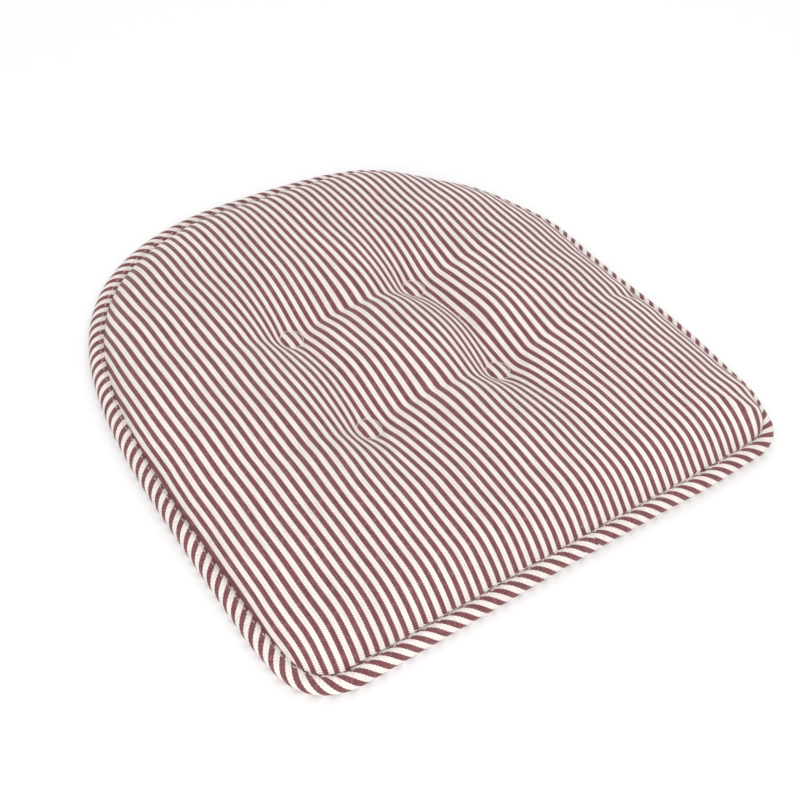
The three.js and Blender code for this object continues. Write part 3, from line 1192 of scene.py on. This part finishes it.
@dataclass
class TopCover:
    """The striped panel: cut flat, stuffed, and pulled down by the tufts."""

    sizes: PadSizes
    outline: Outline
    crown: Crown
    spacing: float = 3.9 * MM
    frames: int = 30
    pressure: float = 12.0
    tension: float = 40.0
    bending: float = 0.5
    mass: float = 0.03
    fullness: float = 0.004
    cap: float = 9 * MM
    yielding: float = 0.35
    gather: float = 0.8
    gather_reach: float = 42 * MM
    pin_margin: float = 0.3 * MM
    rim_steps: tuple[float, ...] = (0.8, 2.0, 3.8, 6.2, 9.2, 12.6)
    tuft_rings: tuple[float, ...] = (2.6, 5.0, 6.8, 7.7, 8.6, 10.2, 12.6, 16.0)
    obj: bpy.types.Object | None = None

    def build(self) -> bpy.types.Object:
        """Cut, stuff and sew the panel.

        Returns:
            The finished cover.
        """
        rim = self.crown.rim_inset
        rings = tuple(rim + step * MM for step in self.rim_steps)
        tuft_rings = tuple(r * MM for r in self.tuft_rings)
        button = self.crown.button_shape
        plan, faces = PlanMesh(self.outline, rim, self.spacing, rings, tuft_rings, button).build()
        leaned = self.crown.leaned(plan)
        start = np.column_stack([leaned, self.crown.tufted(plan)])
        rest = np.column_stack([leaned, self.crown.untufted(plan)])
        cover = make_object("top_cover_ticking", rest, faces)
        set_uv(cover, self.flat_pattern(plan))
        shape = self.simulate(cover, start, plan)
        cover.data.vertices.foreach_set("co", shape.astype(np.float32).ravel())
        cover.data.update()
        divide = cover.modifiers.new("fine", "SUBSURF")
        divide.levels = divide.render_levels = 1
        thick = cover.modifiers.new("cloth", "SOLIDIFY")
        thick.thickness = self.sizes.cloth
        thick.offset = -1
        thick.use_even_offset = False
        settle(cover)
        self.obj = cover
        return cover

    def flat_pattern(self, plan: np.ndarray) -> np.ndarray:
        """Lay the stuffed crown out flat, so that the stripes keep their width over its edges.

        Args:
            plan: the places of the vertices in plan.

        Returns:
            The place of each vertex on the flat cloth.
        """
        step = 2 * MM
        s = self.sizes
        x = np.arange(-s.half_width - step, s.half_width + 2 * step, step)
        y = np.arange(-s.half_depth - step, s.half_depth + 2 * step, step)
        gx, gy = np.meshgrid(x, y)
        height = self.crown.untufted(np.stack([gx.ravel(), gy.ravel()], 1)).reshape(gx.shape)
        flat = []
        for axis, line in ((1, x), (0, y)):
            rise = np.diff(height, axis=axis)
            extra = np.sqrt(step**2 + rise**2) - step
            total = np.cumsum(extra, axis=axis)
            zero = np.zeros_like(np.take(total, [0], axis=axis))
            total = np.concatenate([zero, total], axis=axis)
            middle = np.abs(line).argmin()
            flat.append(total - np.take(total, [middle], axis=axis))
        column = ((plan[:, 0] - x[0]) / step).clip(0, len(x) - 1.001)
        row = ((plan[:, 1] - y[0]) / step).clip(0, len(y) - 1.001)
        c, r = column.astype(int), row.astype(int)
        fc, fr = column - c, row - r
        added = []
        for table in flat:
            low = table[r, c] * (1 - fc) + table[r, c + 1] * fc
            high = table[r + 1, c] * (1 - fc) + table[r + 1, c + 1] * fc
            added.append(low * (1 - fr) + high * fr)
        return plan + np.stack(added, 1) + self.gathered(plan)

    def gathered(self, plan: np.ndarray) -> np.ndarray:
        """Give how far the tufts draw the cloth in, which takes up the slope of their dimples.

        Args:
            plan: the places of the vertices in plan.

        Returns:
            The offset on the flat cloth of each vertex.
        """
        steps = np.linspace(0, 120 * MM, 400)
        deep = self.crown.shoulder * 0.95
        reach = (self.crown.pull_along_grain + self.crown.pull_across_grain) / 2
        slope = deep / reach * np.exp(-steps / reach)
        extra = np.cumsum(np.sqrt(1 + slope**2) - 1) * (steps[1] - steps[0]) * self.gather
        extra *= 1 / (1 + (steps / self.gather_reach) ** 4)
        offset = np.zeros_like(plan)
        for tuft in self.sizes.tufts:
            away = plan - tuft.centre
            far = np.linalg.norm(away, axis=1)
            beyond = self.crown.button(tuft, plan) - tuft.radius
            drawn = np.interp(beyond, steps, extra, left=0.0, right=0.0)
            offset += away / np.maximum(far, 1e-9)[:, None] * drawn[:, None]
        return offset

    def simulate(self, cover: bpy.types.Object, start: np.ndarray, plan: np.ndarray) -> np.ndarray:
        """Let the cloth settle over the filling, held at its seam and in its tufts.

        Args:
            cover: the cover's object, whose untufted shape sets the cloth's size.
            start: the shape it starts from.
            plan: the vertices in plan.

        Returns:
            The settled points.
        """
        sim = twin(cover, "cover_while_it_settles")
        sim.shape_key_add(name="cut")
        pulled = sim.shape_key_add(name="pulled")
        pulled.data.foreach_set("co", start.astype(np.float32).ravel())
        pulled.value = 1.0
        pins = sim.vertex_groups.new(name="sewn")
        depth = self.outline.depth(plan)
        held = depth < self.crown.rim_inset + 1.0 * MM
        for tuft in self.sizes.tufts:
            held |= self.crown.button(tuft, plan) < tuft.radius + self.pin_margin
        pins.add([int(i) for i in np.flatnonzero(held)], 1.0, "REPLACE")
        cloth = sim.modifiers.new("cloth", "CLOTH")
        c = cloth.settings
        c.quality = 7
        c.mass = self.mass
        c.tension_stiffness = c.compression_stiffness = self.tension
        c.shear_stiffness = self.tension * 0.4
        c.bending_stiffness = self.bending
        c.air_damping = 4.0
        c.vertex_group_mass = pins.name
        c.use_pressure = True
        c.uniform_pressure_force = self.pressure
        c.shrink_min = -self.fullness
        c.rest_shape_key = sim.data.shape_keys.key_blocks["cut"]
        c.effector_weights.gravity = 0.0
        cloth.collision_settings.use_collision = False
        cloth.point_cache.frame_end = self.frames
        scene = bpy.context.scene
        scene.frame_end = max(scene.frame_end, self.frames)
        for number in range(1, self.frames + 1):
            scene.frame_set(number)
        graph = bpy.context.evaluated_depsgraph_get()
        settled = sim.evaluated_get(graph).to_mesh()
        points = np.empty(len(settled.vertices) * 3, np.float32)
        settled.vertices.foreach_get("co", points)
        sim.evaluated_get(graph).to_mesh_clear()
        scene.frame_set(1)
        bpy.data.objects.remove(sim)
        moved = points.reshape(-1, 3).astype(float) - start
        far = np.linalg.norm(moved, axis=1, keepdims=True)
        LOG.info("the cloth settled by up to %.1f mm", far.max() / MM)
        kept = np.minimum(1, self.cap / np.maximum(far, 1e-9))
        return start + moved * self.yielding * kept

    def height_at(self, places: np.ndarray) -> np.ndarray:
        """Find the finished cover's height at some places.

        Args:
            places: points in plan.

        Returns:
            The heights, or the seam's own where there is no cover.
        """
        tree = BVHTree.FromObject(self.obj, bpy.context.evaluated_depsgraph_get())
        hits = [tree.ray_cast(Vector((x, y, 0.2)), Vector((0, 0, -1)))[0] for x, y in places]
        seam = self.sizes.seam_height + 4 * MM
        return np.array([seam if hit is None else hit.z for hit in hits])

    def dress(self) -> None:
        """Give the cover its cloth and its place in the frame."""
        self.obj.data.materials.append(TickingFinish("striped_ticking", phase=-0.185).build())
        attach(self.obj, BODY)
        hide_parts("top_cover")


@dataclass
class Piping:
    """The bias strip round the edge, the cord in it and the lap where its ends meet."""

    sizes: PadSizes
    outline: Outline
    steps: int = 520
    wrap_steps: int = 26
    shoulder_angle: float = 33.0
    tail_reach: float = 13.0 * MM
    join_gap: float = 0.5 * MM
    join: float = 12 * MM
    radius: float = 5.5 * MM
    inward: float = 0.4 * MM
    height: float = 5.95 * MM
    cloth: float = 0.6 * MM
    wobble: float = 0.10 * MM
    half_gap: float = 0.1 * MM
    tail_step: float = 0.35 * MM
    lap_swell: float = 0.45 * MM
    lap_before: float = 9 * MM
    lap_after: float = 5 * MM
    cord_slack: float = 1.0 * MM

    def face(self, radius: float, half_gap: float) -> np.ndarray:
        """Draw one face of the strip's section.

        Args:
            radius: its radius round the cord.
            half_gap: half the gap between its two tails.

        Returns:
            Points as (inwards, up).
        """
        start = math.radians(self.shoulder_angle)
        turn = np.linspace(start, 2 * math.pi - start, self.wrap_steps)
        arc = radius * np.stack([np.cos(turn), np.sin(turn)], 1)
        reach = np.array([self.tail_reach, (self.tail_reach + radius) / 2.2])
        upper = np.stack([reach, np.array([half_gap, half_gap + self.tail_step])], 1)
        lower = (upper * np.array([1, -1]))[::-1]
        return np.concatenate([upper, arc, lower])

    def section(self, radius: float, thickness: float) -> tuple[np.ndarray, np.ndarray]:
        """Draw the strip's section: round the cord, with two tails going in.

        Args:
            radius: the outer radius.
            thickness: the cloth's thickness.

        Returns:
            Points as (inwards, up) and the distance of each along the strip's width.
        """
        outer = self.face(radius, self.half_gap + thickness)
        inner = self.face(radius - thickness, self.half_gap)
        steps = np.linalg.norm(np.diff(outer, axis=0), axis=1)
        across = np.concatenate([[0], np.cumsum(steps)])
        return np.concatenate([outer, inner[::-1]]), np.concatenate([across, across[::-1]])

    def sweep(self, name: str, section: np.ndarray, across: np.ndarray, start: float, end: float,
              steps: int, wobble: float, swell: tuple[float, float] = (1.0, 1.0),
              cloth_shift: float = 0.0) -> bpy.types.Object:
        """Sweep a section along part of the outline.

        Args:
            name: the object's name.
            section: points as (inwards, up).
            across: each one's distance along the strip's width.
            start: where the sweep starts, as a distance from the front's middle.
            end: where it ends.
            steps: how many rings it gets.
            wobble: how much the strip's thickness varies, in metres.
            swell: how much the section is grown at the sweep's start and at its end.
            cloth_shift: how far along its own cloth the sweep's pattern starts.

        Returns:
            The swept object.
        """
        points, normals, along = self.outline.loop(2400)
        total = self.outline.length()
        where = np.linspace(start, end, steps)
        rng = np.random.default_rng(11)
        bumps = np.interp(where % total, np.linspace(0, total, 260), rng.normal(0, 1, 260), period=total)
        growth = np.linspace(*swell, steps) * (1 + wobble * bumps / self.radius)
        at = where % total
        centre = np.stack([np.interp(at, along, points[:, i], period=total) for i in (0, 1)], 1)
        out = np.stack([np.interp(at, along, normals[:, i], period=total) for i in (0, 1)], 1)
        out /= np.linalg.norm(out, axis=1, keepdims=True)
        rings = []
        for spot, way, grown in zip(centre, out, growth[:, None, None] * section):
            plan = spot - way * (grown[:, :1] + self.inward)
            rings.append(np.column_stack([plan, self.height + grown[:, 1]]))
        verts, faces = swept(np.array(rings))
        made = make_object(name, verts, [f[::-1] for f in faces])
        u = np.repeat(where + cloth_shift, len(section))
        set_uv(made, np.stack([u, np.tile(across, steps)], 1))
        return made

    def build(self) -> list[bpy.types.Object]:
        """Make the strip, its lapped end and the cord.

        Returns:
            The three objects.
        """
        total = self.outline.length()
        radius = self.radius
        section, across = self.section(radius, self.cloth)
        half = self.join_gap / 2
        self.strip = self.sweep("piping_bias_strip", section, across, self.join + half,
                                self.join + total - half, self.steps, self.wobble)
        lap_section, lap_across = self.section(radius + self.lap_swell, self.cloth)
        self.lap = self.sweep("piping_lapped_end", lap_section, lap_across,
                              self.join - self.lap_before, self.join + self.lap_after, 16, 0.0,
                              swell=(0.93, 1.0), cloth_shift=total)
        turn = np.linspace(0, 2 * math.pi, 20, endpoint=False)
        core = (radius - self.cord_slack) * np.stack([np.cos(turn), np.sin(turn)], 1)
        self.cord = self.sweep("piping_filler_cord", core, turn * radius,
                               self.join + self.cord_slack, self.join + total - self.cord_slack,
                               300, 0.0)
        return [self.strip, self.lap, self.cord]

    def dress(self) -> None:
        """Give the strip, its lap and the cord their finishes and places."""
        bias = TickingFinish("striped_bias", pitch=10.05 * MM, slant=1.0, yarn=0.8 * MM)
        self.strip.data.materials.append(bias.build())
        self.outline.length()
        self.lap.data.materials.append(self.strip.data.materials[0])
        cotton = FillingFinish("cotton_cord", (0.86, 0.82, 0.74, 1), (0.66, 0.61, 0.52, 1), 1.6 * MM)
        self.cord.data.materials.append(cotton.build())
        for piece, node, slot in (
            (self.strip, "piping_cover", "striped_bias"),
            (self.lap, None, "striped_bias"),
            (self.cord, "piping_cord", "cotton_cord"),
        ):
            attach(piece, BODY)
            if node:
                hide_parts(node)


@dataclass
class Stitching:
    """Rows of thread: two round the seam, and a ring on both faces of each tuft."""

    sizes: PadSizes
    outline: Outline
    crown: Crown
    cover: TopCover
    piping: Piping
    stride: float = 3.6 * MM
    length: float = 2.6 * MM
    thread: float = 0.27 * MM
    seam_angle: float = 54.0
    seam_lift: float = 0.12 * MM
    tack_stride: float = 2.9 * MM
    tack_lift: float = 0.1 * MM
    tack_depth: float = 0.45 * MM
    pieces: dict[str, bpy.types.Object] = field(default_factory=dict)

    def _line(self, name: str, loops: list[np.ndarray]) -> bpy.types.Object:
        """Make an object of bare closed lines.

        Args:
            name: the object's name.
            loops: the points of each line.

        Returns:
            The object.
        """
        mesh = bpy.data.meshes.new(name)
        verts, edges = [], []
        for loop in loops:
            base, count = len(verts), len(loop)
            verts += [tuple(map(float, p)) for p in loop]
            edges += [(base + i, base + (i + 1) % count) for i in range(count)]
        mesh.from_pydata(verts, edges, [])
        made = bpy.data.objects.new(name, mesh)
        bpy.context.scene.collection.objects.link(made)
        return made

    def build(self) -> None:
        """Lay every row."""
        thread = ThreadFinish().build()
        tree = stitch_tree()
        points, normals, _ = self.outline.loop(900)
        angle = math.radians(self.seam_angle)
        reach = self.piping.radius + self.seam_lift
        loops = []
        for side in Side:
            plan = points - normals * (reach * math.cos(angle) + self.piping.inward)
            height = self.piping.height + side.value * reach * math.sin(angle)
            loops.append(np.column_stack([plan, np.full(len(plan), height)]))
        seam = self._line("seam_stitches", loops)
        tree.run(seam, {"Stride": self.stride, "Length": self.length, "Thread": self.thread,
                        "Seed": 3, "Material": thread})
        self.pieces["seam_thread"] = seam
        turn = np.linspace(0, 2 * math.pi, 96, endpoint=False)
        for number, tuft in enumerate(self.sizes.tufts):
            around = np.stack([np.cos(turn), np.sin(turn)], 1)
            ring = tuft.centre + tuft.radius * around * self.crown.button_shape
            rows = [
                np.column_stack([ring, self.cover.height_at(ring) + self.tack_lift]),
                np.column_stack([ring, np.full(len(ring), tuft.bottom + self.tack_depth)]),
            ]
            tack = self._line(tuft.name.replace("tuft_tack", "tuft_stitches"), rows)
            tree.run(tack, {"Stride": self.tack_stride, "Length": self.tack_stride,
                            "Thread": self.thread * 1.15, "Seed": 20 + number, "Material": thread})
            self.pieces[tuft.name] = tack

    def dress(self) -> None:
        """Give each row its place in the frame."""
        for node, piece in self.pieces.items():
            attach(piece, BODY)
            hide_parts(node)


@dataclass
class Underside:
    """The slip-resistant bottom cover and its printed dots."""

    sizes: PadSizes
    outline: Outline
    spacing: float = 6.5 * MM
    rim_inset: float = 6.3 * MM
    dot_pitch: float = 9.0 * MM
    dot_height: float = 0.5 * MM
    dot_radius: float = 1.5 * MM
    thickness: float = 0.8 * MM
    curl: float = 18 * MM
    below_seam: float = 2.4 * MM
    tuft_rise: float = 0.3 * MM
    tuft_spread: float = 14 * MM

    def heights(self, plan: np.ndarray) -> np.ndarray:
        """Give the sheet's lower face over the plan: flat, but for its curled rim and the tufts.

        Args:
            plan: points in plan.

        Returns:
            Heights above the surface that the pad rests on.
        """
        rise = self.sizes.seam_height - self.below_seam
        share = ((self.outline.depth(plan) - self.rim_inset) / self.curl).clip(0, 1)
        height = self.dot_height + rise * (1 - share) ** 2.2
        for tuft in self.sizes.tufts:
            beyond = (np.linalg.norm(plan - tuft.centre, axis=1) - tuft.radius).clip(0)
            spread = (1 - beyond / self.tuft_spread).clip(0)
            height += (tuft.bottom + self.tuft_rise) * spread**2
        return height

    def build(self) -> None:
        """Make the sheet and print its dots."""
        rings = tuple(r * MM for r in (7.6, 9.6, 12.4, 16.0, 20.0))
        tuft_rings = tuple(r * MM for r in (4.0, 7.3, 8.6, 11.0, 14.5, 19.0))
        plan, faces = PlanMesh(self.outline, self.rim_inset, self.spacing, rings, tuft_rings).build()
        lower = np.column_stack([plan, self.heights(plan)])
        self.sheet = make_object("bottom_cover_backing", lower, [f[::-1] for f in faces])
        set_uv(self.sheet, plan)
        divide = self.sheet.modifiers.new("fine", "SUBSURF")
        divide.levels = divide.render_levels = 1
        thick = self.sheet.modifiers.new("sheet", "SOLIDIFY")
        thick.thickness = self.thickness
        thick.offset = -1
        settle(self.sheet)
        self.dots = twin(self.sheet, "bottom_cover_grip_dots")
        width, depth = 2 * self.sizes.half_width, 2 * self.sizes.half_depth
        columns = round(width / self.dot_pitch)
        rows = round(depth / (self.dot_pitch * math.sqrt(0.75)))
        dot_tree().run(self.dots, {"Width": width, "Depth": depth, "Columns": columns, "Rows": rows,
                                   "Radius": self.dot_radius, "Height": self.dot_height,
                                   "Material": GripFinish().build()})

    def dress(self) -> None:
        """Give the sheet and the dots their finishes and places."""
        self.sheet.data.materials.append(BackingFinish().build())
        cut = self.outline.inset(self.rim_inset, 720)
        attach(self.sheet, BODY)
        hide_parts("bottom_cover")
        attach(self.dots, BODY)


@dataclass
class Filling:
    """The fibre wadding under the cover and the foam core under that."""

    sizes: PadSizes
    outline: Outline
    cover: TopCover
    underside: Underside
    spacing: float = 7.5 * MM
    wadding_sizes: tuple[float, float, float] = (11 * MM, 1.6 * MM, 3.4 * MM)
    foam_sizes: tuple[float, float] = (15.5 * MM, 5.6 * MM)
    above_backing: float = 1.2 * MM
    least: float = 0.8 * MM
    full_height: float = 18 * MM

    def layer(self, name: str, rim: float, drop: float, thickness: float | None) -> bpy.types.Object:
        """Make one closed layer under the cover.

        Args:
            name: the object's name.
            rim: how far in from the piping's centre line it starts.
            drop: how far under the cover its top lies.
            thickness: its thickness, or None for a layer that reaches the bottom cover.

        Returns:
            The layer.
        """
        rings = tuple(rim + step * MM for step in (2.5, 6.0, 11.0))
        tuft_rings = tuple(r * MM for r in (4.5, 9.0, 13.5, 18.5))
        plan, faces = PlanMesh(self.outline, rim, self.spacing, rings, tuft_rings).build()
        upper = self.cover.height_at(plan) - drop
        floor = self.underside.heights(plan) + self.above_backing
        if thickness is None:
            lower = np.minimum(floor, upper - self.least)
        else:
            share = ((upper - floor) / self.full_height).clip(0.25, 1)
            lower = upper - thickness * share
        count = len(plan)
        points = np.concatenate([np.column_stack([plan, upper]), np.column_stack([plan, lower])])
        loops = {}
        for face in faces:
            for a, b in zip(face, face[1:] + face[:1]):
                loops[(a, b)] = True
        walls = [(b, a, a + count, b + count) for a, b in loops if (b, a) not in loops]
        every = list(faces) + [tuple(i + count for i in f[::-1]) for f in faces] + walls
        return make_object(name, points, every)

    def build(self) -> None:
        """Make the wadding and the foam."""
        self.wadding = self.layer("wadding_fibre_layer", *self.wadding_sizes)
        self.foam = self.layer("foam_core_block", *self.foam_sizes, None)

    def dress(self) -> None:
        """Give both layers their finishes and places."""
        fibre = FillingFinish("polyester_fibre", (0.93, 0.93, 0.92, 1), (0.74, 0.74, 0.73, 1),
                              2.4 * MM, (1.0, 0.25, 1.0))
        foam = FillingFinish("foam", (0.88, 0.82, 0.62, 1), (0.62, 0.55, 0.36, 1), 0.9 * MM)
        for piece, finish, node, slot in (
            (self.wadding, fibre, "fibre_wadding", "polyester_fibre"),
            (self.foam, foam, "foam_core", "foam"),
        ):
            piece.data.materials.append(finish.build())
            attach(piece, BODY)
            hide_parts(node)


# ---------------------------------------------------------------- studio


@dataclass(frozen=True)
class Studio:
    """The floor, the soft light and the camera."""

    sizes: PadSizes
    azimuth: float = -36.28
    elevation: float = 46.53
    roll: float = 3.03
    distance: float = 826 * MM
    lens: float = 52.84
    target: tuple[float, float] = (-17.2 * MM, -40.8 * MM)
    sensor: float = 36.0
    glow: float = 0.84
    floor_half: float = 6.0

    def floor(self) -> None:
        """Lay the floor."""
        half = self.floor_half
        corners = np.array([[-half, -half, 0], [half, -half, 0], [half, half, 0], [-half, half, 0]])
        floor = make_object("studio_floor", corners, [(0, 1, 2, 3)], smooth=False)
        floor.data.materials.append(FloorFinish().build())
        floor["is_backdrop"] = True

    def light(self, name: str, place: tuple, size: float, power: float, colour: tuple = (1, 1, 1)) -> None:
        """Hang one square soft light, aimed at the pad.

        Args:
            name: the light's name.
            place: where it hangs.
            size: its side.
            power: its power, in watts.
            colour: its colour.
        """
        data = bpy.data.lights.new(name, "AREA")
        data.size, data.energy, data.color = size, power, colour
        lamp = bpy.data.objects.new(name, data)
        lamp.location = place
        lamp.rotation_mode = "QUATERNION"
        lamp.rotation_quaternion = (-Vector(place)).to_track_quat("-Z", "Y")
        bpy.context.scene.collection.objects.link(lamp)

    def lights(self) -> None:
        """Hang the lights and set the room's own glow."""
        world = bpy.data.worlds.new("studio")
        bpy.context.scene.world = world
        world.use_nodes = True
        glow = world.node_tree.nodes["Background"]
        glow.inputs["Color"].default_value = (1.0, 1.0, 1.0, 1.0)
        glow.inputs["Strength"].default_value = self.glow
        self.light("key", (-0.75, -1.15, 1.15), 1.1, 12.0)
        self.light("fill", (0.8, 0.9, 1.3), 1.2, 3.0)
        bpy.context.scene.view_settings.view_transform = "Standard"

    def camera(self) -> None:
        """Set the camera at its viewing angle."""
        a, e, roll = (math.radians(d) for d in (self.azimuth, self.elevation, self.roll))
        back = Vector((math.sin(a) * math.cos(e), -math.cos(a) * math.cos(e), math.sin(e)))
        right = Vector((math.cos(a), math.sin(a), 0))
        up = back.cross(right)
        right, up = (
            right * math.cos(roll) + up * math.sin(roll),
            up * math.cos(roll) - right * math.sin(roll),
        )
        data = bpy.data.cameras.new("camera")
        data.lens, data.sensor_width = self.lens, self.sensor
        data.clip_start, data.clip_end = 0.01, 50.0
        camera = bpy.data.objects.new("camera", data)
        place = Vector((*self.target, self.sizes.seam_height)) + back * self.distance
        turned = Matrix((right, up, back)).transposed().to_4x4()
        camera.matrix_world = Matrix.Translation(place) @ turned
        bpy.context.scene.collection.objects.link(camera)
        bpy.context.scene.camera = camera

    def build(self) -> None:
        """Set up the whole studio."""
        self.floor()
        self.lights()
        self.camera()


def main() -> None:
    """Build the pad and the studio."""
    logging.basicConfig(level=logging.INFO, format="%(name)s: %(message)s")
    sizes = PadSizes.from_frame()
    outline = Outline(sizes)
    Studio(sizes).build()
    crown = Crown(sizes, outline)
    cover = TopCover(sizes, outline, crown)
    piping = Piping(sizes, outline)
    underside = Underside(sizes, outline)
    filling = Filling(sizes, outline, cover, underside)
    stitching = Stitching(sizes, outline, crown, cover, piping)
    for part in (cover, piping, underside, filling, stitching):
        part.build()
        part.dress()
    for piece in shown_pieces():
        LOG.info("%s: %d faces", piece.name, len(piece.data.polygons))


if __name__ == "__main__":
    main()
